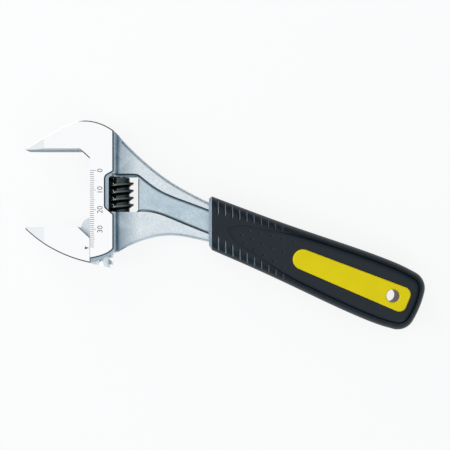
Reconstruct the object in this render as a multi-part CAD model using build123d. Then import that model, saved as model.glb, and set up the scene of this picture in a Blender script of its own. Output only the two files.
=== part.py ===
from build123d import *
import math
import os

# Adjustable wrench with a wide jaw opening, lying flat.
#
# Part frame, in millimetres: the origin is the centre of the hanging hole, halfway through
# the grip. +X runs along the handle to the head, +Z is up out of the face with the scale, and
# +Y is the side of the movable jaw.
#
# Head frame: the head is turned on the handle by head_angle. Its origin is the corner where
# the fixed jaw's face would meet the throat. u runs out to the jaw tips and w runs the way
# the movable jaw opens, so the fixed jaw's face is w = 0 and the throat is u = 0.

# ---- Placing of the head on the handle ----
head_angle = 22.0
head_x = 170.9
head_y = -11.4

# ---- Jaws ----
opening = 39.5
jaw_reach = 33.3
jaw_thickness = 13.0
tip_thickness = 10.0
tip_taper_length = 10.0
tip_height = 0.9
gusset_reach = 5.2
gusset_height = 4.8
gusset_fillet = 2.6
facet_gap = 0.2
facet_height = 5.8
jaw_depth = 18.3
jaw_belly = 13.1
face_gap = 0.15
edge_break = 0.6

# ---- Head ----
head_length = 57.6
head_width = 13.2
head_back = 14.8
shoulder_depth = 8.6
ledge_thickness = 11.4
ledge_width = 1.2
lip_width = 2.0
lip_over = 1.0
lip_rise = 0.2
lip_bow = 0.7
recess_depth = 4.3
recess_slope = 2.4
recess_corner = 2.2
step_fillet = 3.0

# ---- Neck and tang, with an I section ----
rail_thickness = 8.4
rail_edge = 1.8
pocket_floor = 5.2
pocket_half = 6.0
pocket_margin = 1.4
pocket_fillet = 1.5
pocket_corner = 6.0
pocket_side = 1.6
tang_half = 8.0
tang_start = 89.2
tang_end = 16.2
upper_flare_x = 143.9
upper_flare = 16.55
upper_waist_x = 126.0
upper_waist = 11.6
lower_flare_x = 129.4
lower_flare = 21.6
lower_waist_x = 116.0
lower_waist = 13.55
pocket_flare_x = 129.7
pocket_waist_x = 117.2

# ---- Guide channel and the jaw's stem ----
stem_radius = 3.7
stem_offset = 7.2
stem_clearance = 0.08
stem_top = 26.4
stem_top_slope = 0.22
stem_end_slope = 0.19
web_thickness = 4.4
web_clearance = 0.1
web_rise = 5.2
web_foot = 0.5
web_shelf = 0.3
web_end_clearance = 0.4

# ---- Worm ----
pitch = 3.7
worm_radius = 6.2
worm_root = 4.15
worm_offset = 15.26
worm_length = 17.6
worm_seat_gap = 0.1
crest_width = 0.8
thread_bury = 0.3
load_flank = 0.11
back_flank = 0.68
thread_turns = 4.25
crest_at_jaw = 18.65
rack_depth = 2.36
rack_backlash = 0.15

# ---- Worm window ----
window_top = 13.5
window_length = 18.25
window_near = 9.4
window_far = 24.1
window_corner = 1.4
window_edge = 0.5

# ---- Worm pin and spring ----
pin_radius = 1.75
pin_clearance = 0.07
pin_seat_depth = 4.5
pin_end_gap = 0.3
pin_head_radius = 2.7
pin_head_length = 2.4
pin_head_inset = 10.6
pin_slot_width = 0.8
pin_slot_depth = 1.1
spring_wire = 0.55
spring_coil_radius = 2.45
spring_turns = 4.0
spring_pocket_radius = 3.05
spring_pocket_depth = 4.0
spring_gap = 0.05

# ---- Grip ----
grip_front = 100.9
grip_front_half = 12.9
grip_rear_half = 16.5
grip_thickness = 17.5
grip_round = 6.4
grip_end = 15.7
grip_end_corner = 9.0
grip_front_edge = 1.6
grip_lead = 8.0
grip_lead_draft = 0.2
grip_straight = 5.0
grip_swell = 1.0
grip_taper = 1.05
heel_taper = 0.4
heel_bow = 2.2
heel_draft = 1.6
rib_pitch = 3.65
rib_count = 10
rib_start = 4.6
rib_width = 1.3
rib_depth = 0.5
rib_lift = 0.3
rib_bend = 6.4
rib_lead_out = 6.0
rib_fade = 3.0
rib_reach = 42.0
rib_clear = 1.4
panel_tip = 90.8
panel_margin = 3.1
panel_depth = 0.8
dimple_pitch = 5.7
dimple_count = 5
dimple_start = 8.0
dimple_row = 3.2
dimple_spread = 0.95
dimple_radius = 1.15
dimple_depth = 0.45
liner_wall = 4.0
liner_thickness = 11.2
liner_front = 89.2
insert_front = 54.5
insert_rear = 8.3
insert_half_front = 5.2
insert_half_rear = 6.6
insert_corner = 3.8
insert_proud = 0.2
insert_edge = 0.7
hang_hole_radius = 3.35
hang_hole_edge = 0.5

# How far a cutter stands out of what it cuts
past = 1.0

# ---- Worked out from the sizes above ----
head_at = Location((head_x, head_y, 0), (0, 0, head_angle))
jaw_at = head_at * Location((0, opening, 0))
lead_angle = math.degrees(math.atan(pitch / (2 * math.pi * (worm_radius - rack_depth / 2))))
worm_top = window_top + window_length - worm_seat_gap - worm_length
bore_radius = stem_radius + stem_clearance
pin_tip = window_top - pin_seat_depth
pin_head_seat = head_length - pin_head_inset - pin_head_length
gusset_turn = math.atan(gusset_height / gusset_reach)
facet_reach = gusset_reach + gusset_fillet * math.tan(gusset_turn / 2) + facet_gap


def at_head(u, w):
    """Part-frame (x, y) of a point given in the head frame."""
    spot = (head_at * Location((u, w, 0))).position
    return (spot.X, spot.Y)


def slab(face, thickness):
    """Extrude a face on the mid-plane both ways to a total thickness."""
    return extrude(face, amount=thickness / 2, both=True)


def above(face, low, high):
    """Both mirrored layers of a face, between two heights over the mid-plane."""
    layer = extrude(Pos(0, 0, low) * face, amount=high - low)
    return layer + mirror(layer, about=Plane.XY)


def tip_wedges():
    """The two wedges that thin a jaw towards its tip."""
    start = jaw_reach - tip_taper_length
    half = jaw_thickness / 2
    tip_half = tip_thickness / 2
    side = Plane.XZ * make_face(
        Polyline(
            (start, half),
            (jaw_reach, tip_half),
            (jaw_reach + past, tip_half),
            (jaw_reach + past, half + past),
            (start, half + past),
            close=True,
        )
    )
    wedge = extrude(side, amount=3 * jaw_depth, both=True)
    return wedge + mirror(wedge, about=Plane.XY)


def pad_rims(piece, inner):
    """Long edges round the raised pads: the curved outline, and all that lies behind u = inner."""
    rims = [e for e in piece.edges() if abs(e.center().Z) > ledge_thickness / 2 + 0.01]
    rims = [e for e in rims if e.length > jaw_thickness - ledge_thickness]
    return [e for e in rims if e.geom_type != GeomType.LINE or e.center().X < inner + 0.01]


# ---- Body: the forging with the fixed jaw, the head, the neck and the tang ----
def head_outline():
    dome = Spline(
        (jaw_reach, -tip_height),
        (0.56 * jaw_reach, -0.61 * head_back),
        (0.05 * jaw_reach, -head_back),
        (-head_width, -shoulder_depth),
        tangents=((-1, -0.5), (-1, 1.0)),
    )
    lip = Spline(
        (0, head_length),
        (-0.55 * head_width, head_length - 0.18 * head_width),
        (-head_width, head_length - 0.45 * head_width),
        tangents=((-1, -0.12), (-1, -0.62)),
    )
    face = Polyline(
        (jaw_reach, -tip_height), (jaw_reach, 0), (gusset_reach, 0), (0, gusset_height), (0, head_length)
    )
    return make_face([*face.edges(), lip, Line(lip @ 1, dome @ 1), dome])


def polished_step():
    """The region beside the polished pad, where the head steps down to its ledge."""
    pad_edge = ledge_width - head_width
    near = pad_edge + recess_depth
    window_end = window_top + window_length
    curve = Spline(
        (pad_edge, head_length - 0.45 * head_width - 0.6 * lip_width),
        (0.5 * pad_edge, head_length - 0.16 * head_width - lip_width + lip_bow),
        (lip_over, head_length - lip_width + lip_rise),
        tangents=((0.7, 0.9), (1, 0.15)),
    )
    border = Polyline(
        curve @ 1,
        (lip_over, head_length + head_width),
        (-2 * head_width, head_length + head_width),
        (-2 * head_width, -2 * head_back),
        (pad_edge, -2 * head_back),
        (pad_edge, window_top - recess_slope),
        (near, window_top),
        (near, window_end - recess_slope),
        (pad_edge, window_end + 0.5 * recess_slope),
        curve @ 0,
    )
    step = make_face([*border.edges(), curve])
    for corner in ((near, window_top), (near, window_end - recess_slope)):
        step = fillet(step.vertices().sort_by_distance((*corner, 0))[0], recess_corner)
    return step


def neck_outline():
    upper = Spline(
        at_head(ledge_width - head_width, -shoulder_depth - 0.9 * ledge_width),
        (upper_flare_x, -upper_flare),
        (upper_waist_x, -upper_waist),
        (tang_start + 1.8 * tang_half, -1.14 * tang_half),
        (tang_start - 0.5 * tang_half, -tang_half),
        tangents=((-1, 0.52), (-1, 0)),
    )
    lower = Spline(
        at_head(0.8 * ledge_width - head_width, head_length - 0.39 * head_width),
        (lower_flare_x, lower_flare),
        (lower_waist_x, lower_waist),
        (tang_start + 1.12 * tang_half, 1.22 * tang_half),
        (tang_start - 0.5 * tang_half, tang_half),
        tangents=((-0.62, -0.78), (-1, 0)),
    )
    tang = Polyline(upper @ 1, (tang_end, -tang_half), (tang_end, tang_half), lower @ 1)
    inside = Polyline(
        upper @ 0,
        at_head(-stem_offset, 0),
        at_head(-stem_offset, 0.86 * head_length),
        lower @ 0,
    )
    return make_face([upper, lower, *tang.edges(), *inside.edges()])


def pocket_outline():
    """The sunken floor of the I section, from the worm window back into the grip."""
    window_end = window_top + window_length
    far = -window_far
    upper = Spline(
        at_head(far, window_top - pocket_margin),
        (pocket_flare_x, -0.93 * pocket_half),
        (pocket_waist_x, -0.9 * pocket_half),
        (tang_start + 0.5 * tang_half, -pocket_half),
        tangents=((-1, 0.3), (-1, -0.02)),
    )
    lower = Spline(
        at_head(far, window_end),
        (pocket_flare_x, 1.1 * pocket_half),
        (pocket_waist_x, pocket_half),
        (tang_start + 0.5 * tang_half, pocket_half),
        tangents=((-1, -0.5), (-1, 0)),
    )
    near = -window_near - pocket_side
    window_side = Polyline(
        upper @ 0, at_head(near, window_top - pocket_margin), at_head(near, window_end), lower @ 0
    )
    floor = make_face([upper, lower, Line(upper @ 1, lower @ 1), *window_side.edges()])
    return fillet(floor.vertices().sort_by_distance((*upper @ 0,))[0], pocket_corner)


def web_profile(clearance):
    """Side of the jaw's web, from the jaw to the stem, grown by a clearance."""
    radius = web_rise - clearance
    low = web_shelf - clearance
    rise = RadiusArc((web_rise, low), (clearance, low - radius), radius)
    foot = 1.5 * jaw_depth
    rest = Polyline(
        rise @ 1, (-stem_offset, low - radius), (-stem_offset, foot), (2 * web_rise, foot),
        (2 * web_rise, low), rise @ 0,
    )
    return make_face([rise, *rest.edges()])


def pocket_tool():
    """Cutter for the sunken floor on the upper side, with a fillet round its foot."""
    tool = extrude(Pos(0, 0, pocket_floor / 2) * pocket_outline(), amount=jaw_thickness)
    foot = tool.faces().sort_by(Axis.Z)[0].edges()
    return fillet(foot, pocket_fillet)


def step_ramp():
    """The concave run-out from the head's ledge down to the rails."""
    drop = (ledge_thickness - rail_thickness) / 2
    reach = math.sqrt(step_fillet**2 - (step_fillet - drop) ** 2)
    top = ledge_thickness / 2
    arc = RadiusArc((-head_width, top), (-head_width - reach, top - drop), step_fillet)
    rest = Polyline(arc @ 1, (-head_width - reach, 0), (past - head_width, 0), (past - head_width, top), arc @ 0)
    profile = Plane.XZ * make_face([arc, *rest.edges()])
    ramp = Pos(0, head_length / 2, 0) * extrude(profile, amount=head_length, both=True)
    return ramp + mirror(ramp, about=Plane.XY)


def guide_channel():
    """Keyhole channel for the jaw's stem and web, open at the head's back and lower end."""
    slot_width = web_thickness + 2 * web_clearance
    along = Plane(origin=(-stem_offset, head_length / 2, 0), x_dir=(1, 0, 0), z_dir=(0, 1, 0))
    bore = extrude(along * Circle(bore_radius), amount=head_length, both=True)
    mouth = slab(web_profile(web_end_clearance), slot_width)
    slot = Pos(-stem_offset / 2, head_length, 0) * Box(stem_offset + past, 2 * head_length, slot_width)
    return bore + mouth + slot


def worm_window():
    width = window_far - window_near
    middle = Pos(-window_near - width / 2, window_top + window_length / 2, 0)
    return slab(middle * RectangleRounded(width, window_length, window_corner), 2 * jaw_thickness)


def window_bevel():
    """Edge break along the window's side towards the grip, on both sunken floors."""
    top = pocket_floor / 2
    over = window_edge / 2
    side = Plane.XZ * make_face(
        Polyline(
            (over - window_far, top - window_edge - over),
            (over - window_far, top + over),
            (-window_far - window_edge - over, top + over),
            close=True,
        )
    )
    middle = Pos(0, window_top + window_length / 2, 0)
    bevel = middle * extrude(side, amount=window_length / 2 - window_corner, both=True)
    return bevel + mirror(bevel, about=Plane.XY)


def pin_hole():
    """Blind bore along the worm's axis, with a counterbore for the pin's head."""
    along = Plane(origin=(-worm_offset, pin_tip, 0), x_dir=(1, 0, 0), z_dir=(0, 1, 0))
    bore = extrude(along * Circle(pin_radius + pin_clearance), amount=pin_head_seat - pin_tip)
    mouth = Plane(origin=(-worm_offset, pin_head_seat, 0), x_dir=(1, 0, 0), z_dir=(0, 1, 0))
    counterbore = extrude(mouth * Circle(pin_head_radius + pin_clearance), amount=3 * pin_head_length)
    return bore + counterbore


def make_body():
    head = slab(head_outline(), jaw_thickness)
    gusset_corner = head.edges().filter_by(Axis.Z).sort_by_distance((gusset_reach, 0, 0))[0]
    head = fillet(gusset_corner, gusset_fillet)
    head -= above(polished_step(), ledge_thickness / 2, jaw_thickness)
    head -= tip_wedges()
    head = chamfer(pad_rims(head, ledge_width + recess_depth - head_width), edge_break)
    neck = slab(neck_outline(), rail_thickness)
    tang_corners = neck.edges().filter_by(Axis.Z).sort_by(Axis.X)[:2]
    neck = fillet(tang_corners, 0.8 * tang_half)
    rims = [e for e in neck.edges().filter_by(GeomType.BSPLINE) if abs(e.center().Z) > 0.1]
    neck = fillet(rims, rail_edge)
    body = head_at * head + neck
    body += (head_at * step_ramp()) & slab(neck_outline(), jaw_thickness)
    tool = pocket_tool()
    body -= tool
    body -= mirror(tool, about=Plane.XY)
    body -= head_at * worm_window()
    body -= head_at * window_bevel()
    body -= head_at * guide_channel()
    body -= head_at * pin_hole()
    return body


# ---- Movable jaw: one forging with its web, round stem and rack ----
def rack_groove(at):
    """One gap of the rack, shaped by the worm's crest that runs in it."""
    crest = crest_width / 2 + rack_backlash
    root = stem_offset + stem_radius - rack_depth
    tip = worm_offset - worm_radius
    past = worm_offset - worm_root
    load = crest + load_flank * (past - tip)
    back = crest + back_flank * (past - tip)
    profile = make_face(
        Polyline(
            (-root, -crest), (-root, crest), (-tip, crest), (-past, back), (-past, -load), (-tip, -crest),
            close=True,
        )
    )
    groove = extrude(profile, amount=2 * stem_radius, both=True)
    return Pos(0, at, 0) * Rot(lead_angle, 0, 0) * groove


def make_movable_jaw():
    """Built with its face at w = 0, then set at the full opening."""
    belly = ThreePointArc(
        (face_gap, jaw_depth), (0.47 * jaw_reach, jaw_belly), (jaw_reach, 1.2 * tip_height)
    )
    top = Polyline(
        belly @ 1, (jaw_reach, 0), (facet_reach, 0), (face_gap, facet_height), (face_gap, jaw_depth)
    )
    jaw = slab(make_face([belly, *top.edges()]), jaw_thickness) - tip_wedges()
    jaw = chamfer(pad_rims(jaw, -jaw_reach), edge_break)
    along = Plane(origin=(-stem_offset, -2 * stem_top, 0), x_dir=(1, 0, 0), z_dir=(0, 1, 0))
    stem = extrude(along * Circle(stem_radius), amount=3 * jaw_depth + stem_top)
    web = slab(web_profile(0.0), web_thickness)
    far = stem_offset + 2 * stem_radius
    trim = make_face(
        Polyline(
            (2 * web_rise, jaw_depth - web_rise),
            (0.4 * web_rise, jaw_depth - web_rise),
            (0, jaw_depth + web_foot),
            (-far, jaw_depth + web_foot + stem_end_slope * far),
            (-far, -stem_top + stem_top_slope * (far - stem_offset)),
            (0, -stem_top - stem_top_slope * stem_offset),
            (2 * web_rise, -stem_top),
            close=True,
        )
    )
    stem = (stem + web) & slab(trim, jaw_thickness)
    at = crest_at_jaw - opening
    while at > -stem_top - pitch:
        at -= pitch
    while at < jaw_depth + pitch:
        stem -= rack_groove(at)
        at += pitch
    return jaw_at * (jaw + stem)


# ---- Worm with its thread, its pin and its spring ----
def make_worm():
    """Worm built along +Z, with +X towards the jaws, then laid along w."""
    depth = worm_radius - worm_root
    base = (Align.CENTER, Align.CENTER, Align.MIN)
    bar = Pos(0, 0, -pitch) * Cylinder(worm_root, worm_length + 2 * pitch, align=base)
    crest = crest_width / 2
    low = crest + load_flank * (depth + thread_bury)
    high = crest + back_flank * (depth + thread_bury)
    start = crest_at_jaw - worm_top - pitch
    path = Helix(pitch, thread_turns * pitch, worm_root)
    # This plane's Y runs down the worm, so the load flank is on the positive side.
    section = Plane(origin=path @ 0, x_dir=(1, 0, 0), z_dir=path % 0) * make_face(
        Polyline((-thread_bury, -high), (depth, -crest), (depth, crest), (-thread_bury, low), close=True)
    )
    thread = sweep(section, path=path, is_frenet=True)
    thread = Pos(0, 0, start) * thread
    worm = (bar + thread) & Cylinder(2 * worm_radius, worm_length, align=base)
    worm -= Cylinder(pin_radius + pin_clearance, 3 * worm_length)
    worm -= Cylinder(spring_pocket_radius, 2 * spring_pocket_depth)
    along = Plane(origin=(-worm_offset, worm_top, 0), x_dir=(1, 0, 0), z_dir=(0, 1, 0))
    return head_at * along.location * worm


def make_worm_pin():
    """Plain pin with a slotted head, pressed into its blind end."""
    along = Plane(origin=(-worm_offset, pin_tip + pin_end_gap, 0), x_dir=(1, 0, 0), z_dir=(0, 1, 0))
    length = pin_head_seat - pin_tip - pin_end_gap
    base = (Align.CENTER, Align.CENTER, Align.MIN)
    shank = Cylinder(pin_radius, length, align=base)
    shank = chamfer(shank.edges().sort_by(Axis.Z)[0], pin_radius / 4)
    head = Pos(0, 0, length) * Cylinder(pin_head_radius, pin_head_length, align=base)
    head = chamfer(head.edges().sort_by(Axis.Z)[-1], pin_head_radius / 8)
    slot = Pos(0, 0, length + pin_head_length) * Box(3 * pin_head_radius, pin_slot_width, 2 * pin_slot_depth)
    return head_at * along.location * (shank + head - slot)


def make_worm_spring():
    """Compression coil in the worm's pocket, between its floor and the window's end."""
    low = window_top + spring_gap
    high = worm_top + spring_pocket_depth - spring_gap
    rise = high - low - spring_wire
    path = Helix(rise / spring_turns, rise, spring_coil_radius)
    wire = sweep(Plane(origin=path @ 0, z_dir=path % 0) * Circle(spring_wire / 2), path=path, is_frenet=True)
    along = Plane(origin=(-worm_offset, low + spring_wire / 2, 0), x_dir=(1, 0, 0), z_dir=(0, 1, 0))
    return head_at * along.location * wire


# ---- Grip: hard liner moulded round the tang, soft cover over it ----
def grip_outline(inset=0.0):
    """Plan of the grip, or the same shape drawn in by an inset."""
    half = [
        (grip_front + grip_lead, grip_front_half - grip_lead_draft),
        (grip_front - grip_straight, grip_front_half),
        (0.62 * grip_front, grip_front_half + grip_swell),
        (0.35 * grip_front, grip_rear_half - grip_taper),
        (0.1 * grip_front, grip_rear_half),
        (-0.03 * grip_front, grip_rear_half - heel_taper),
    ]
    side = Spline(*[(x, y - inset) for x, y in half], tangents=((-1, 0), (-1, -0.1)))
    corner = (heel_bow + inset - grip_end, grip_rear_half - heel_draft - inset)
    heel = ThreePointArc(corner, (inset - grip_end, 0), (corner[0], -corner[1]))
    near = [side, Line(side @ 1, corner)]
    far = [mirror(edge, about=Plane.XZ) for edge in near]
    return make_face([*near, heel, *far, Line(side @ 0, far[0] @ 0)])


def grip_blank(inset=0.0):
    """The grip's rounded block, or the same block shrunk all round by an inset."""
    thickness = grip_thickness - 2 * inset
    blank = slab(grip_outline(inset), thickness)
    corners = blank.edges().filter_by(Axis.Z).sort_by(Axis.X)[:2]
    blank = fillet(corners, grip_end_corner - inset)
    rims = [e for e in blank.edges() if abs(abs(e.center().Z) - thickness / 2) < 0.01]
    rims = [e for e in rims if e.center().X < grip_front + 0.9 * grip_lead]
    return fillet(rims, grip_round - inset)


def front_cut(at):
    """Everything ahead of a slanted plane across the handle."""
    side = 10 * grip_thickness
    block = Box(side, side, side, align=(Align.MIN, Align.CENTER, Align.CENTER))
    return Location((at, 0, 0), (0, 0, head_angle)) * block


def insert_outline():
    """The long window through which the liner shows."""
    window = make_face(
        Polyline(
            (insert_front - insert_half_front, insert_half_front),
            (-insert_rear, insert_half_rear),
            (-insert_rear, -insert_half_rear),
            (insert_front - insert_half_front, -insert_half_front),
            close=True,
        )
    )
    window = fillet(window.vertices().sort_by(Axis.X)[:2], insert_corner)
    return window + Pos(insert_front - insert_half_front, 0) * Circle(insert_half_front)


def make_liner_blank():
    """The liner with its two proud inserts, before the tang and the hole are taken out."""
    sheath = slab(grip_outline(liner_wall), liner_thickness)
    corners = sheath.edges().filter_by(Axis.Z).sort_by(Axis.X)[:2]
    sheath = fillet(corners, grip_end_corner - liner_wall)
    sheath -= front_cut(liner_front)
    insert = slab(insert_outline(), grip_thickness + 2 * insert_proud)
    rims = [e for e in insert.edges() if abs(e.center().Z) > grip_thickness / 2]
    return sheath + fillet(rims, insert_edge)


def make_grip_liner(body):
    hole = Cylinder(hang_hole_radius, 2 * grip_thickness)
    liner = make_liner_blank() - body - hole
    mouths = [
        e for e in liner.edges().filter_by(GeomType.CIRCLE)
        if abs(e.radius - hang_hole_radius) < 0.01 and abs(e.center().Z) > grip_thickness / 2
    ]
    return chamfer(mouths, hang_hole_edge)


def rib_path(outer, inward, fade):
    """Centreline of one groove over the grip's rounded shoulder, rising out at both ends."""
    across = Plane(origin=(outer.X, outer.Y, 0), x_dir=inward, z_dir=inward.cross(Vector(0, 0, 1)))
    top = grip_thickness / 2
    rise = math.acos(1 - rib_clear * rib_depth / rib_lead_out)

    def on_bend(angle):
        return (rib_bend * (1 - math.sin(angle)), top - rib_bend * (1 - math.cos(angle)))

    def on_lead_out(start, way, angle):
        foot = on_bend(start)
        along = way * rib_lead_out * math.sin(angle)
        off = rib_lead_out * (1 - math.cos(angle))
        return (
            foot[0] - along * math.cos(start) - off * math.sin(start),
            foot[1] - along * math.sin(start) + off * math.cos(start),
        )

    low = math.radians(rib_reach)
    inner = ThreePointArc(on_lead_out(fade, -1, rise), on_lead_out(fade, -1, rise / 2), on_bend(fade))
    shoulder = ThreePointArc(on_bend(fade), on_bend((fade + low) / 2), on_bend(low))
    outer_end = ThreePointArc(on_bend(low), on_lead_out(low, 1, rise / 2), on_lead_out(low, 1, rise))
    return across * Wire([inner, shoulder, outer_end])


def rib_grooves():
    """Grooves over the grip's shoulders, parallel to the jaw's travel and mirrored underneath."""
    plan = grip_outline()
    wide = rib_width / 2 * (1 + rib_lift / rib_depth)
    profile = Polyline((-wide, rib_lift), (0, -rib_depth), (wide, rib_lift), close=True)
    turn = math.radians(head_angle)
    front = (grip_front - head_x) * math.cos(turn) - head_y * math.sin(turn)
    reach = 4 * head_length
    grooves = []
    for index in range(rib_count):
        station = front - rib_start - index * rib_pitch
        across = plan & Line(at_head(station, -reach), at_head(station, reach))
        ends = (across @ 0, across @ 1)
        inward = (ends[1] - ends[0]).normalized()
        for outer, way in ((ends[0], inward), (ends[1], inward * -1)):
            path = rib_path(outer, way, math.radians(index * rib_fade))
            section = Plane(origin=path @ 0, x_dir=way.cross(Vector(0, 0, 1)), z_dir=path % 0)
            groove = sweep(section * make_face(profile), path=path)
            grooves += [groove, mirror(groove, about=Plane.XY)]
    return grooves


def panel_outline():
    """The sunken leaf round the insert, from its tip to the heel."""
    half = [
        (panel_tip, 0),
        (0.96 * panel_tip, 0.26 * grip_front_half),
        (0.84 * panel_tip, 0.49 * grip_front_half),
        (0.64 * panel_tip, 0.78 * grip_front_half),
        (0.43 * panel_tip, 0.96 * grip_front_half),
        (0.2 * panel_tip, 1.2 * grip_front_half),
    ]
    upper = Spline(*half)
    lower = mirror(upper, about=Plane.XZ)
    rear = -2 * grip_end
    back = Polyline(upper @ 1, (rear, grip_rear_half), (rear, -grip_rear_half), lower @ 1)
    inner = grip_outline(panel_margin)
    corners = inner.vertices().sort_by(Axis.X)[:2]
    return make_face([upper, lower, *back.edges()]) & fillet(corners, grip_end_corner - panel_margin)


def dimples():
    """Small four-sided hollows for the thumb in the panel's front, in three staggered rows."""
    wide = dimple_radius * (1 + rib_lift / dimple_depth)
    face = grip_thickness / 2 - panel_depth
    mouth = Pos(0, 0, face + rib_lift) * RegularPolygon(wide, 4)
    point = loft([mouth.face(), Vertex(0, 0, face - dimple_depth)])
    pair = [point, mirror(point, about=Plane.XY)]
    spots = []
    for index in range(dimple_count):
        x = panel_tip - dimple_start - index * dimple_pitch
        side = dimple_row + index * dimple_spread
        spots += [(x, 0), (x - dimple_pitch / 2, side), (x - dimple_pitch / 2, -side)]
    return [Pos(x, y, 0) * each for x, y in spots for each in pair]


def make_grip_cover(body):
    cover = grip_blank() - front_cut(grip_front)
    front = cover.faces().filter_by(GeomType.PLANE).sort_by(Axis.X)[-1]
    cover = chamfer(front.edges(), grip_front_edge)
    cover -= rib_grooves()
    cover -= slab(panel_outline(), 2 * grip_thickness) - grip_blank(panel_depth)
    cover -= dimples()
    return cover - make_liner_blank() - body


if __name__ == "__main__":
    os.makedirs("parts", exist_ok=True)
    body = make_body()
    pieces = {
        "body": body,
        "movable_jaw": make_movable_jaw(),
        "worm": make_worm(),
        "worm_pin": make_worm_pin(),
        "worm_spring": make_worm_spring(),
        "grip_liner": make_grip_liner(body),
        "grip_cover": make_grip_cover(body),
    }
    for name, piece in pieces.items():
        print(name, piece.is_valid, len(piece.solids()), round(piece.volume, 1))
        export_step(piece, f"parts/{name}.step")
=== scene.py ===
import math

import bpy
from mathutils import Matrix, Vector


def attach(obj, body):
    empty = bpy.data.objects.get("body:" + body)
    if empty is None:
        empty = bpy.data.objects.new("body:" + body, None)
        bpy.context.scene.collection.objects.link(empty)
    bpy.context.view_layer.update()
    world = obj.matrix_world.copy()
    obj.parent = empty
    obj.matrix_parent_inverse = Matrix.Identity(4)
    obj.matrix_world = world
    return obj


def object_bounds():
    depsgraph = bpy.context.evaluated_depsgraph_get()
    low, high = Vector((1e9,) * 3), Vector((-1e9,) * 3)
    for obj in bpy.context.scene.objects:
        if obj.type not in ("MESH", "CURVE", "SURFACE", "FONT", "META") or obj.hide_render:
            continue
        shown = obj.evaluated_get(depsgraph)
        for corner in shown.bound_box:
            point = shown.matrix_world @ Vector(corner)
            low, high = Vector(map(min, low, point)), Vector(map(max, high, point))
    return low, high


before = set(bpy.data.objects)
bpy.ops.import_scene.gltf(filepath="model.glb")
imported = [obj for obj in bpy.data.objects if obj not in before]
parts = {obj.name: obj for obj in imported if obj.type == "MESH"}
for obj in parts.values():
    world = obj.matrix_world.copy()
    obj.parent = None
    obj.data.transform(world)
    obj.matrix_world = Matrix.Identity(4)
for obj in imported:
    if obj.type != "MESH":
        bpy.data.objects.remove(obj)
cadBox = [list(corner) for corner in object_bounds()]
mm = 0.001  # sizes below are in millimetres, unless a note says otherwise

# The head is turned on the handle. u runs out to the jaw tips and w runs the way the movable
# jaw opens, both in millimetres from the fixed jaw's inner corner.
head = {"x": 170.9, "y": -11.4, "turn": math.radians(22), "opening": 39.5, "padTop": 6.5}
uWay = Vector((math.cos(head["turn"]), math.sin(head["turn"]), 0))
wWay = Vector((-math.sin(head["turn"]), math.cos(head["turn"]), 0))
headCorner = Vector((head["x"], head["y"], 0))


def onHead(u, w, z):
    return (headCorner + u * uWay + w * wWay + Vector((0, 0, z))) * mm


def linearColour(code):
    channels = [int(code[i:i + 2], 16) / 255 for i in (1, 3, 5)]
    return (*[c / 12.92 if c <= 0.04045 else ((c + 0.055) / 1.055) ** 2.4 for c in channels], 1.0)


def addNode(tree, kind, inputs=None, **settings):
    made = tree.nodes.new("ShaderNode" + kind)
    for name, value in settings.items():
        setattr(made, name, value)
    for name, value in (inputs or {}).items():
        if isinstance(value, bpy.types.NodeSocket):
            tree.links.new(value, made.inputs[name])
        else:
            made.inputs[name].default_value = value
    return made


def startMaterial(name):
    material = bpy.data.materials.new(name)
    material.use_nodes = True
    tree = material.node_tree
    tree.nodes.clear()
    shader = addNode(tree, "BsdfPrincipled")
    addNode(tree, "OutputMaterial", {"Surface": shader.outputs[0]})
    return material, tree, shader


def wear(node, material):
    mesh = parts[node].data
    mesh.materials.clear()
    mesh.materials.append(material)


# Satin chrome plate, on the two forgings. Chromium is a cool white metal. Over the shot-blasted
# steel it scatters light softly, and over the ground pads it is close to a mirror, which is what
# tells the two apart. The milled walls are left greyer, as the cutter made them. The edge breaks,
# the pocket floors, the foot of the rails, the neck below the ledge and the walls of the worm's
# window are painted darker, as painted shade.
plate = {
    # the edge, floor, foot and corner tones and the tone of the worm window's walls are painted shade
    "colours": {
        "polished": "#FAFBFC", "satin": "#D6E1E7", "mottle": "#EEF3F6", "floor": "#B4C8D3",
        "floorMottle": "#D2E0E7", "ledge": "#ABBCC8", "foot": "#77858F", "corner": "#7B92A2",
        "edge": "#55636F", "wall": "#8E9EA4", "windowWallShade": "#141B20",
    },
    "roughness": {"satin": 0.42, "polished": 0.22, "cut": 0.6, "windowWallShade": 0.9},
    "noises": {"grain": (0.5, 3.0), "speck": (1.0, 3.0), "cloud": (6.0, 2.0)},  # millimetres, octaves
    "grainDepth": 0.03,
    "grindDepth": 0.004,
    "speckle": (0.3, 0.7, 0.88, 1.06),  # speck from and to, darkest and lightest
    "patches": (0.25, 0.6, 0.5, 1.0),  # cloud from and to, weakest and strongest
    # Where the finishes lie. A band is 0 up to its first figure and 1 past its second, both in
    # millimetres. Height is from the middle plane. Inward is below 0 on the sides that face the
    # handle's middle line, and the more so the farther they stand from it.
    "bands": {
        "onPad": ("height", 5.75, 5.85),
        "onJaws": ("u", -0.1, 0.1),
        "offWeb": ("height", 2.3, 2.5),
        "offThroat": ("u", 5.3, 5.5),
        "low": ("height", 3.4, 3.3),
        "onNeck": ("u", -12.4, -12.6),
        "ledge": ("height", 5.5, 5.6),
        "facingIn": ("inward", -0.4, -2.0),
        "onRails": ("u", -15.6, -16.6),
        "nearLedge": ("u", -25.0, -12.6),
        "lowerEnd": ("w", 34.0, 41.0),
        "nearTip": ("u", 3.0, 7.0),
        "onFixedJaw": ("w", 5.5, 5.4),
        "windowRear": ("u", -24.9, -24.8),
        "windowFront": ("u", -8.9, -9.0),
        "windowTop": ("w", 13.2, 13.3),
        "windowFoot": ("w", 32.0, 31.9),
    },
    # bands on how level the surface lies: 1 on the faces, 0 on the walls, edge breaks between
    "tilts": {
        "offWall": (0.12, 0.4, "SMOOTHSTEP"),
        "offFace": (0.97, 0.72, "SMOOTHSTEP"),
        "tilted": (0.97, 0.85, "LINEAR"),
    },
}


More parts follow.
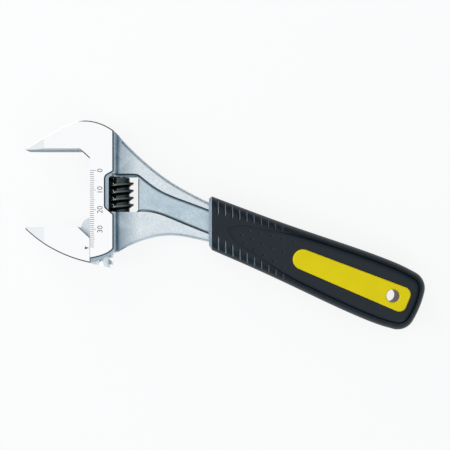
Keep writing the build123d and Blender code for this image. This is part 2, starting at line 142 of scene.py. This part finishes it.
def chromePlate(name):
    material, tree, shader = startMaterial(name)
    where = addNode(tree, "TexCoord")
    place = where.outputs["Object"]
    reach = addNode(tree, "VectorMath", {0: place, 1: uWay}, operation="DOT_PRODUCT")
    along = addNode(tree, "VectorMath", {0: place, 1: wWay}, operation="DOT_PRODUCT")
    across, rise = addNode(tree, "SeparateXYZ", {0: place}).outputs[1:]
    sideways, upright = addNode(tree, "SeparateXYZ", {0: where.outputs["Normal"]}).outputs[1:]
    height = addNode(tree, "Math", {0: rise}, operation="ABSOLUTE").outputs[0]
    level = addNode(tree, "Math", {0: upright}, operation="ABSOLUTE").outputs[0]
    inward = addNode(tree, "Math", {0: sideways, 1: across}, operation="MULTIPLY").outputs[0]
    measures = {
        "u": (reach.outputs["Value"], headCorner.dot(uWay)),
        "w": (along.outputs["Value"], headCorner.dot(wWay)),
        "height": (height, 0),
        "inward": (inward, 0),
    }
    mask = {}
    for key, (measure, start, end) in plate["bands"].items():
        value, zero = measures[measure]
        limits = {0: value, 1: (zero + start) * mm, 2: (zero + end) * mm}
        mask[key] = addNode(tree, "MapRange", limits).outputs[0]
    for key, (start, end, curve) in plate["tilts"].items():
        limits = {0: level, 1: start, 2: end}
        mask[key] = addNode(tree, "MapRange", limits, interpolation_type=curve).outputs[0]
    # blasting leaves a grain of 0.2 mm, drawn 0.5 mm coarse so that it shows
    noise = {}
    for key, (size, octaves) in plate["noises"].items():
        pattern = {"Vector": place, "Scale": 1 / (size * mm), "Detail": octaves}
        noise[key] = addNode(tree, "TexNoise", pattern).outputs[0]
    start, end, weakest, strongest = plate["patches"]
    patches = {0: noise["cloud"], 1: start, 2: end, 3: weakest, 4: strongest}
    mask["patchy"] = addNode(tree, "MapRange", patches).outputs[0]

    joined = (
        # the pads and the jaws are polished, but not the web between the stem and the movable jaw
        ("offWeb", "offWeb", "MAXIMUM", "offThroat"),
        ("onJaws", "onJaws", "MULTIPLY", "offWeb"),
        ("polished", "onPad", "MAXIMUM", "onJaws"),
        ("cut", "offFace", "MULTIPLY", "polished"),
        # the fixed jaw's nose is buffed right over its edge
        ("nose", "nearTip", "MULTIPLY", "onFixedJaw"),
        # the sunken floors between the rails are painted darker, a painted shade in the pocket
        ("floor", "low", "MULTIPLY", "onNeck"),
        # the foot of the rails, on the sides that face each other, is painted darker, a painted shade in
        # the crease
        ("foot", "facingIn", "MULTIPLY", "onRails"),
        # the neck is painted darker towards the ledge, in patches that fill in at its lower end, a
        # painted shade
        ("patchy", "patchy", "MAXIMUM", "lowerEnd"),
        ("corner", "nearLedge", "MULTIPLY", "onNeck"),
        ("corner", "corner", "MULTIPLY", "patchy"),
        # the worm's window is milled through the plate, and its walls are painted nearly black and not
        # metallic, a painted shade
        ("windowWallShade", "tilted", "MULTIPLY", "windowRear"),
        ("windowWallShade", "windowWallShade", "MULTIPLY", "windowFront"),
        ("windowWallShade", "windowWallShade", "MULTIPLY", "windowTop"),
        ("windowWallShade", "windowWallShade", "MULTIPLY", "windowFoot"),
    )
    for key, first, how, second in joined:
        mask[key] = addNode(tree, "Math", {0: mask[first], 1: mask[second]}, operation=how).outputs[0]

    shade = {key: linearColour(code) for key, code in plate["colours"].items()}
    # the ledge round the polished face is only ground, so it has no mottle
    for key, mottle in (("satin", "mottle"), ("floor", "floorMottle")):
        tones = {0: noise["cloud"], 6: shade[key], 7: shade[mottle]}
        shade[key] = addNode(tree, "Mix", tones, data_type="RGBA").outputs[2]
    colour = shade["satin"]
    for key in ("floor", "ledge", "foot", "corner"):
        tones = {0: mask[key], 6: colour, 7: shade[key]}
        colour = addNode(tree, "Mix", tones, data_type="RGBA").outputs[2]
    start, end, darkest, lightest = plate["speckle"]
    speckle = {0: noise["speck"], 1: start, 2: end, 3: darkest, 4: lightest}
    speckle = addNode(tree, "MapRange", speckle).outputs[0]
    colour = addNode(tree, "VectorMath", {0: colour, 3: speckle}, operation="SCALE").outputs[0]
    # edge breaks are painted dark as shade, except on the fixed jaw's nose; the walls take the ground
    # grey
    tones = {0: mask["nose"], 6: shade["edge"], 7: shade["polished"]}
    breaks = addNode(tree, "Mix", tones, data_type="RGBA").outputs[2]
    tones = {0: mask["offWall"], 6: shade["wall"], 7: breaks}
    shade["cut"] = addNode(tree, "Mix", tones, data_type="RGBA").outputs[2]
    rough = plate["roughness"]["satin"]
    for key in ("polished", "cut", "windowWallShade"):
        tones = {0: mask[key], 6: colour, 7: shade[key]}
        colour = addNode(tree, "Mix", tones, data_type="RGBA").outputs[2]
        rough = addNode(tree, "Mix", {0: mask[key], 2: rough, 3: plate["roughness"][key]}).outputs[0]
    # the painted shade on the window's walls is not metallic
    metalness = addNode(tree, "Math", {0: 1.0, 1: mask["windowWallShade"]}, operation="SUBTRACT").outputs[0]
    depth = {0: mask["polished"], 3: plate["grainDepth"] * mm, 4: plate["grindDepth"] * mm}
    depth = addNode(tree, "MapRange", depth).outputs[0]
    # Bump's own Distance can't be linked in every viewer, so the grain is scaled before it
    raised = addNode(tree, "Math", {0: noise["grain"], 1: depth}, operation="MULTIPLY").outputs[0]
    bump = addNode(tree, "Bump", {"Height": raised, "Distance": 1.0, "Strength": 1.0})
    tree.links.new(metalness, shader.inputs["Metallic"])
    tree.links.new(colour, shader.inputs["Base Color"])
    tree.links.new(rough, shader.inputs["Roughness"])
    tree.links.new(bump.outputs[0], shader.inputs["Normal"])
    return material


chrome = chromePlate("satinChromePlate")
wear("body", chrome)
wear("movable_jaw", chrome)
print("steel plated")

# Black oxide on the worm, a thin conversion coat on machined steel. It is oiled, so it is nearly
# black. The flanks between the threads are painted darkest as shade, and the crests paler as a painted
# highlight.
oxide = {
    "flank": "#0E1212", "core": "#434B4A", "crestHighlight": "#5F6867", "metallic": 0.85, "roughness": 0.42,
    "grainSize": 0.6, "grainOctaves": 3.0, "grainDepth": 0.01,
    "mottle": (0.3, 0.7, 0.75, 1.15),  # grain from and to, darkest and lightest
    "axisAt": -15.26, "coreUnder": 4.3, "crestOver": 6.0, "blend": 0.12,
}


def blackOxide(name):
    material, tree, shader = startMaterial(name)
    place = addNode(tree, "TexCoord").outputs["Object"]
    # the coat's crystals are far finer than 0.1 mm, and are drawn 0.6 mm coarse so that they show
    pattern = {"Vector": place, "Scale": 1 / (oxide["grainSize"] * mm), "Detail": oxide["grainOctaves"]}
    grain = addNode(tree, "TexNoise", pattern).outputs[0]
    # how far out from the worm's own axis
    axis = onHead(oxide["axisAt"], 0, 0)
    out = addNode(tree, "VectorMath", {0: place, 1: axis}, operation="SUBTRACT").outputs[0]
    out = addNode(tree, "VectorMath", {0: out, 1: wWay}, operation="CROSS_PRODUCT").outputs[0]
    out = addNode(tree, "VectorMath", {0: out}, operation="LENGTH").outputs["Value"]
    colour = linearColour(oxide["flank"])
    # painted shade on the flanks, a mid tone on the core, painted highlight on the crests
    rings = (
        ("core", oxide["coreUnder"] + oxide["blend"], oxide["coreUnder"]),
        ("crestHighlight", oxide["crestOver"], oxide["crestOver"] + oxide["blend"]),
    )
    for key, start, end in rings:
        ring = addNode(tree, "MapRange", {0: out, 1: start * mm, 2: end * mm}).outputs[0]
        tones = {0: ring, 6: colour, 7: linearColour(oxide[key])}
        colour = addNode(tree, "Mix", tones, data_type="RGBA").outputs[2]
    start, end, darkest, lightest = oxide["mottle"]
    mottle = {0: grain, 1: start, 2: end, 3: darkest, 4: lightest}
    mottle = addNode(tree, "MapRange", mottle).outputs[0]
    colour = addNode(tree, "VectorMath", {0: colour, 3: mottle}, operation="SCALE").outputs[0]
    bump = addNode(tree, "Bump", {"Height": grain, "Distance": oxide["grainDepth"] * mm, "Strength": 1.0})
    shader.inputs["Metallic"].default_value = oxide["metallic"]
    shader.inputs["Roughness"].default_value = oxide["roughness"]
    tree.links.new(colour, shader.inputs["Base Color"])
    tree.links.new(bump.outputs[0], shader.inputs["Normal"])
    return material


wear("worm", blackOxide("blackOxideSteel"))
print("worm blacked")

# Drawn steel, bare, for the pin and the spring. The die leaves it bright, with duller specks.
drawn = {
    "bright": "#B9BDC1", "dull": "#8C9196", "metallic": 1.0, "roughness": 0.3,
    "grainSize": 0.3, "grainOctaves": 2.0,
}


def drawnSteel(name):
    material, tree, shader = startMaterial(name)
    place = addNode(tree, "TexCoord").outputs["Object"]
    # the specks are finer than 0.1 mm, and are drawn 0.3 mm coarse so that they show
    pattern = {"Vector": place, "Scale": 1 / (drawn["grainSize"] * mm), "Detail": drawn["grainOctaves"]}
    grain = addNode(tree, "TexNoise", pattern).outputs[0]
    tones = {0: grain, 6: linearColour(drawn["dull"]), 7: linearColour(drawn["bright"])}
    colour = addNode(tree, "Mix", tones, data_type="RGBA").outputs[2]
    shader.inputs["Metallic"].default_value = drawn["metallic"]
    shader.inputs["Roughness"].default_value = drawn["roughness"]
    tree.links.new(colour, shader.inputs["Base Color"])
    return material


steel = drawnSteel("drawnSteel")
wear("worm_pin", steel)
wear("worm_spring", steel)
print("pin and spring finished")

# Injection moulded polypropylene for the liner: semi-gloss, with the faint flow mottle and the
# slight orange peel of a thick moulding.
liner = {
    "face": "#F2DE0C", "flow": "#EAD10A", "wall": "#A8700A",
    "roughness": 0.4, "specular": 0.12, "ior": 1.49,
    "noises": {"flow": (9.0, 2.0), "peel": (0.7, 2.0)},  # millimetres, octaves
    "peelDepth": 0.006,
    "shadedWall": (0.5, 0.2),  # how level the surface lies where the painted shade starts and is full
}


def polypropylene(name):
    material, tree, shader = startMaterial(name)
    where = addNode(tree, "TexCoord")
    noise = {}
    for key, (size, octaves) in liner["noises"].items():
        pattern = {"Vector": where.outputs["Object"], "Scale": 1 / (size * mm), "Detail": octaves}
        noise[key] = addNode(tree, "TexNoise", pattern).outputs[0]
    tones = {0: noise["flow"], 6: linearColour(liner["flow"]), 7: linearColour(liner["face"])}
    colour = addNode(tree, "Mix", tones, data_type="RGBA").outputs[2]
    # the walls, the hole's wall among them, are painted a deeper orange, a painted shade
    level = addNode(tree, "SeparateXYZ", {0: where.outputs["Normal"]}).outputs["Z"]
    level = addNode(tree, "Math", {0: level}, operation="ABSOLUTE").outputs[0]
    start, end = liner["shadedWall"]
    limits = {0: level, 1: start, 2: end}
    onWall = addNode(tree, "MapRange", limits, interpolation_type="SMOOTHSTEP").outputs[0]
    tones = {0: onWall, 6: colour, 7: linearColour(liner["wall"])}
    colour = addNode(tree, "Mix", tones, data_type="RGBA").outputs[2]
    relief = {"Height": noise["peel"], "Distance": liner["peelDepth"] * mm, "Strength": 1.0}
    bump = addNode(tree, "Bump", relief)
    shader.inputs["Roughness"].default_value = liner["roughness"]
    shader.inputs["Specular IOR Level"].default_value = liner["specular"]
    shader.inputs["IOR"].default_value = liner["ior"]
    tree.links.new(colour, shader.inputs["Base Color"])
    tree.links.new(bump.outputs[0], shader.inputs["Normal"])
    return material


wear("grip_liner", polypropylene("polypropylene"))
print("liner finished")

# Thermoplastic elastomer for the cover, moulded in a spark-eroded cavity: nearly black and matt,
# with a fine leathery grain.
cover = {
    "base": "#05131B", "bloom": "#0E1E28", "rim": "#8797A3",
    "roughness": 0.45, "specular": 0.35, "ior": 1.5,
    "noises": {"grain": (0.45, 3.0), "bloom": (6.0, 3.0)},  # millimetres, octaves
    "grainDepth": 0.03,
    "rimAt": -63.8, "rimBlend": 0.2,  # along u
    "grooveAt": 17.5, "grooveLean": 0.13,  # the groove sides carry the painted highlight outside a line that leans
    "fadeFrom": -68.0, "fadeTo": -100.0, "highlightMost": 0.75, "highlightLeast": 0.15,
    "facing": (0.45, 0.65),  # how squarely a side faces the head where the painted highlight starts and is full
}


def elastomer(name):
    material, tree, shader = startMaterial(name)
    where = addNode(tree, "TexCoord")
    place = where.outputs["Object"]
    # the cavity's grain, 0.2 mm on the real one, is drawn about twice as coarse so that it shows
    noise = {}
    for key, (size, octaves) in cover["noises"].items():
        pattern = {"Vector": place, "Scale": 1 / (size * mm), "Detail": octaves}
        noise[key] = addNode(tree, "TexNoise", pattern).outputs[0]
    tones = {0: noise["bloom"], 6: linearColour(cover["base"]), 7: linearColour(cover["bloom"])}
    colour = addNode(tree, "Mix", tones, data_type="RGBA").outputs[2]
    # the front rim is painted pale where it faces the head, a painted highlight
    start, end = cover["facing"]
    facing = {0: where.outputs["Normal"], 1: uWay}
    facing = addNode(tree, "VectorMath", facing, operation="DOT_PRODUCT").outputs["Value"]
    facing = addNode(tree, "MapRange", {0: facing, 1: start, 2: end}).outputs[0]
    zero = headCorner.dot(uWay)
    blend = cover["rimBlend"] * mm
    rim = (zero + cover["rimAt"]) * mm
    reach = addNode(tree, "VectorMath", {0: place, 1: uWay}, operation="DOT_PRODUCT").outputs["Value"]
    onRim = addNode(tree, "MapRange", {0: reach, 1: rim - blend, 2: rim}).outputs[0]
    # and so, less and less towards the heel, are the sides of the grooves that face the head
    x, y = addNode(tree, "SeparateXYZ", {0: place}).outputs[:2]
    y = addNode(tree, "Math", {0: y}, operation="ABSOLUTE").outputs[0]
    lean = {0: x, 1: cover["grooveLean"], 2: y}
    off = addNode(tree, "Math", lean, operation="MULTIPLY_ADD").outputs[0]
    edge = cover["grooveAt"] * mm
    inGrooves = addNode(tree, "MapRange", {0: off, 1: edge - blend, 2: edge}).outputs[0]
    start = (zero + cover["fadeTo"]) * mm
    end = (zero + cover["fadeFrom"]) * mm
    highlightFade = {0: reach, 1: start, 2: end, 3: cover["highlightLeast"], 4: cover["highlightMost"]}
    highlightFade = addNode(tree, "MapRange", highlightFade).outputs[0]
    inGrooves = addNode(tree, "Math", {0: inGrooves, 1: highlightFade}, operation="MULTIPLY").outputs[0]
    highlit = addNode(tree, "Math", {0: onRim, 1: inGrooves}, operation="MAXIMUM").outputs[0]
    highlit = addNode(tree, "Math", {0: highlit, 1: facing}, operation="MULTIPLY").outputs[0]
    tones = {0: highlit, 6: colour, 7: linearColour(cover["rim"])}
    colour = addNode(tree, "Mix", tones, data_type="RGBA").outputs[2]
    relief = {"Height": noise["grain"], "Distance": cover["grainDepth"] * mm, "Strength": 1.0}
    bump = addNode(tree, "Bump", relief)
    shader.inputs["Roughness"].default_value = cover["roughness"]
    shader.inputs["Specular IOR Level"].default_value = cover["specular"]
    shader.inputs["IOR"].default_value = cover["ior"]
    tree.links.new(colour, shader.inputs["Base Color"])
    tree.links.new(bump.outputs[0], shader.inputs["Normal"])
    return material


wear("grip_cover", elastomer("thermoplasticElastomer"))
print("cover finished")

# Scale marks, burnt into the polished pad by a laser. It anneals the plate without cutting it, so
# the marks are matt and grey. They are drawn a hair proud, to lie clear of the pad.
scale = {
    "first": 10.7, "last": 39, "line": 0.26, "short": 2.0, "middle": 2.4, "long": 2.9, "inset": 0.05,
    "middleEvery": 5, "longEvery": 10,
    "numberTop": -3.7, "numberHeight": 2.7, "numberWidth": 1.0, "proud": 0.012,
    "pointerTip": 0.35, "pointerBack": 2.6, "pointerHalf": 0.8,
    "dark": "#565E64", "light": "#6E767C", "roughness": 0.6, "speckSize": 0.2, "speckOctaves": 2.0,
}


def laserMark(name):
    material, tree, shader = startMaterial(name)
    place = addNode(tree, "TexCoord").outputs["Object"]
    # the laser's dots are finer than 0.1 mm, and are drawn 0.2 mm coarse so that they show
    pattern = {"Vector": place, "Scale": 1 / (scale["speckSize"] * mm), "Detail": scale["speckOctaves"]}
    speck = addNode(tree, "TexNoise", pattern).outputs[0]
    tones = {0: speck, 6: linearColour(scale["dark"]), 7: linearColour(scale["light"])}
    colour = addNode(tree, "Mix", tones, data_type="RGBA").outputs[2]
    shader.inputs["Roughness"].default_value = scale["roughness"]
    tree.links.new(colour, shader.inputs["Base Color"])
    return material


def makeMarks(name, body, plates, material):
    # each plate is a flat shape on the pad, given by its corners as (u, w)
    vertices = []
    faces = []
    for corners in plates:
        first = len(vertices)
        count = len(corners)
        for z in (head["padTop"], head["padTop"] + scale["proud"]):
            vertices += [onHead(u, w, z) for u, w in corners]
        faces.append([first + count + i for i in range(count)])
        faces.append([first + i for i in reversed(range(count))])
        for i in range(count):
            j = (i + 1) % count
            faces.append([first + i, first + j, first + count + j, first + count + i])
    mesh = bpy.data.meshes.new(name)
    mesh.from_pydata(vertices, [], faces)
    mesh.materials.append(material)
    made = bpy.data.objects.new(name, mesh)
    bpy.context.scene.collection.objects.link(made)
    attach(made, body)


def tickPlates():
    plates = []
    half = scale["line"] / 2
    start = -scale["inset"]
    for index in range(scale["last"] + 1):
        length = scale["short"]
        if index % scale["middleEvery"] == 0:
            length = scale["middle"]
        if index % scale["longEvery"] == 0:
            length = scale["long"]
        w = scale["first"] + index
        end = start - length
        plates.append([(end, w - half), (start, w - half), (start, w + half), (end, w + half)])
    return plates


def makeNumber(value, material):
    # the figures read along the scale, their feet towards the worm
    curve = bpy.data.curves.new(f"scaleNumber{value}", "FONT")
    curve.body = str(value)
    curve.align_x = "CENTER"
    curve.align_y = "BOTTOM_BASELINE"
    curve.size = 1.0
    halfThick = 0.5  # each figure is made 1 thick, then pressed to the marks' own thickness
    curve.extrude = halfThick
    shape = bpy.data.objects.new(curve.name, curve)
    mesh = bpy.data.meshes.new_from_object(shape)
    bpy.data.objects.remove(shape)
    capHeight = max(vertex.co.y for vertex in mesh.vertices)
    tall = scale["numberHeight"] / capHeight
    wide = tall * scale["numberWidth"]
    foot = scale["numberTop"] - scale["numberHeight"]
    middle = scale["first"] + value
    for vertex in mesh.vertices:
        x, y, z = vertex.co
        rise = head["padTop"] + (z + halfThick) * scale["proud"]
        vertex.co = onHead(foot + y * tall, middle - x * wide, rise)
    mesh.materials.clear()
    mesh.materials.append(material)
    made = bpy.data.objects.new(curve.name, mesh)
    bpy.context.scene.collection.objects.link(made)
    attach(made, "handle")


mark = laserMark("laserMark")
makeMarks("scaleTicks", "handle", tickPlates(), mark)
for value in range(0, scale["last"] + 1, scale["longEvery"]):
    makeNumber(value, mark)
at = scale["first"] + head["opening"]
tip, back, half = scale["pointerTip"], scale["pointerBack"], scale["pointerHalf"]
makeMarks("scalePointer", "jaw", [[(tip, at), (back, at - half), (back, at + half)]], mark)
print("scale marked")

# Floor, lights, sky and camera. The floor is a board in matt white paint, slightly cloudy.
studio = {
    "floor": "#F3F4F5", "shade": "#F0F1F2", "floorRoughness": 0.8, "whiteShare": 0.85,
    "cloudSize": 250,  # millimetres
    "floorHalf": 3.0,  # metres
    # the dark card's side in degrees, and how squarely one looks at it where it starts and is full
    "darkSide": -68, "darkFrom": 0.1, "darkBy": 0.9,
    # tones of the two cards, by how steeply one looks up at them
    "darkRamp": [
        (0.0, "#0A0F14"), (0.45, "#131C24"), (0.75, "#7B8B97"), (0.93, "#F4F7F9"), (0.98, "#FFFFFF"),
    ],
    "paleRamp": [
        (0.0, "#4B5D6B"), (0.45, "#8295A2"), (0.75, "#D2DBE1"), (0.9, "#FBFCFD"), (0.98, "#FFFFFF"),
    ],
    # where each box stands, what it faces and its sides, all in metres, then its radiance
    "softBoxes": {
        "keyBox": ((0.8, -0.57, 0.3), (0.15, 0, 0), (0.5, 0.5), 4.5),
        "fillBox": ((-0.6, 0.6, 0.6), (0.1, 0, 0), (0.6, 0.5), 1.6),
        "frontBox": ((1.0, 0.42, 0.34), (0.1, 0, 0), (0.5, 0.64), 4.5),
    },
}


def studioFloor():
    material, tree, shader = startMaterial("paintedBoard")
    place = addNode(tree, "TexCoord").outputs["Object"]
    cloud = {"Vector": place, "Scale": 1 / (studio["cloudSize"] * mm)}
    cloud = addNode(tree, "TexNoise", cloud).outputs[0]
    tones = {0: cloud, 6: linearColour(studio["shade"]), 7: linearColour(studio["floor"])}
    colour = addNode(tree, "Mix", tones, data_type="RGBA").outputs[2]
    tree.links.new(colour, shader.inputs["Base Color"])
    shader.inputs["Roughness"].default_value = studio["floorRoughness"]
    # a share of plain white for what looks straight at it, while the shadow still falls on the rest
    path = addNode(tree, "LightPath")
    seen = path.outputs["Is Camera Ray"]
    for ray in ("Is Glossy Ray", "Is Transmission Ray"):
        seen = addNode(tree, "Math", {0: seen, 1: path.outputs[ray]}, operation="MAXIMUM").outputs[0]
    share = addNode(tree, "Math", {0: seen, 1: studio["whiteShare"]}, operation="MULTIPLY")
    white = addNode(tree, "Emission", {"Color": (1, 1, 1, 1), "Strength": 1.0})
    both = {0: share.outputs[0], 1: shader.outputs[0], 2: white.outputs[0]}
    both = addNode(tree, "MixShader", both)
    output = next(n for n in tree.nodes if n.bl_idname == "ShaderNodeOutputMaterial")
    tree.links.new(both.outputs[0], output.inputs["Surface"])
    half = studio["floorHalf"]
    height = cadBox[0][2]
    mesh = bpy.data.meshes.new("studioFloor")
    corners = [(-half, -half, height), (half, -half, height), (half, half, height), (-half, half, height)]
    mesh.from_pydata(corners, [], [(0, 1, 2, 3)])
    mesh.materials.append(material)
    made = bpy.data.objects.new("studioFloor", mesh)
    bpy.context.scene.collection.objects.link(made)


def studioSky():
    world = bpy.data.worlds.new("studioSky")
    bpy.context.scene.world = world
    world.use_nodes = True
    tree = world.node_tree
    tree.nodes.clear()
    way = addNode(tree, "TexCoord").outputs["Generated"]
    rise = addNode(tree, "SeparateXYZ", {0: way}).outputs["Z"]
    # a dark card stands on one side of the bench and a pale one opposite
    turn = math.radians(studio["darkSide"])
    aside = {0: way, 1: (math.cos(turn), math.sin(turn), 0)}
    aside = addNode(tree, "VectorMath", aside, operation="DOT_PRODUCT").outputs["Value"]
    pale = addNode(tree, "MapRange", {0: aside, 1: studio["darkBy"], 2: studio["darkFrom"]}).outputs[0]
    ramps = []
    for stops in (studio["darkRamp"], studio["paleRamp"]):
        ramp = addNode(tree, "ValToRGB", {0: rise})
        while len(ramp.color_ramp.elements) < len(stops):
            ramp.color_ramp.elements.new(0.5)  # moved to its own place below
        for element, (at, code) in zip(ramp.color_ramp.elements, stops):
            element.position = at
            element.color = linearColour(code)
        ramps.append(ramp.outputs[0])
    tone = addNode(tree, "Mix", {0: pale, 6: ramps[0], 7: ramps[1]}, data_type="RGBA").outputs[2]
    light = addNode(tree, "Background", {"Color": tone, "Strength": 1.0})
    plain = addNode(tree, "Background", {"Color": (1, 1, 1, 1), "Strength": 1.0})
    path = addNode(tree, "LightPath")
    both = {0: path.outputs["Is Camera Ray"], 1: light.outputs[0], 2: plain.outputs[0]}
    both = addNode(tree, "MixShader", both)
    addNode(tree, "OutputWorld", {"Surface": both.outputs[0]})


def softBox(name, place, aim, size, radiance):
    lamp = bpy.data.lights.new(name, "AREA")
    lamp.shape = "RECTANGLE"
    lamp.size, lamp.size_y = size
    lamp.energy = radiance * math.pi * size[0] * size[1]
    made = bpy.data.objects.new(name, lamp)
    bpy.context.scene.collection.objects.link(made)
    made.location = place
    made.rotation_euler = (Vector(aim) - Vector(place)).to_track_quat("-Z", "Y").to_euler()


studioFloor()
studioSky()
for name, (place, aim, size, radiance) in studio["softBoxes"].items():
    softBox(name, place, aim, size, radiance)

# The lens stands 0.45 m above the face of the wrench and looks straight down.
view = {
    "x": 74.9, "y": 8.4, "height": 456.5, "turn": 202,
    "lens": 70.64, "sensor": 36, "shiftX": -0.0555556, "shiftY": 0.0688889,  # shifts in frame widths
}
camera = bpy.data.cameras.new("camera")
camera.lens = view["lens"]
camera.sensor_width = view["sensor"]
camera.shift_x = view["shiftX"]
camera.shift_y = view["shiftY"]
cameraObject = bpy.data.objects.new("camera", camera)
bpy.context.scene.collection.objects.link(cameraObject)
cameraObject.location = Vector((view["x"], view["y"], view["height"])) * mm
cameraObject.rotation_euler = (0, 0, math.radians(view["turn"]))
bpy.context.scene.camera = cameraObject
bpy.context.scene.view_settings.view_transform = "Standard"
print("studio set")
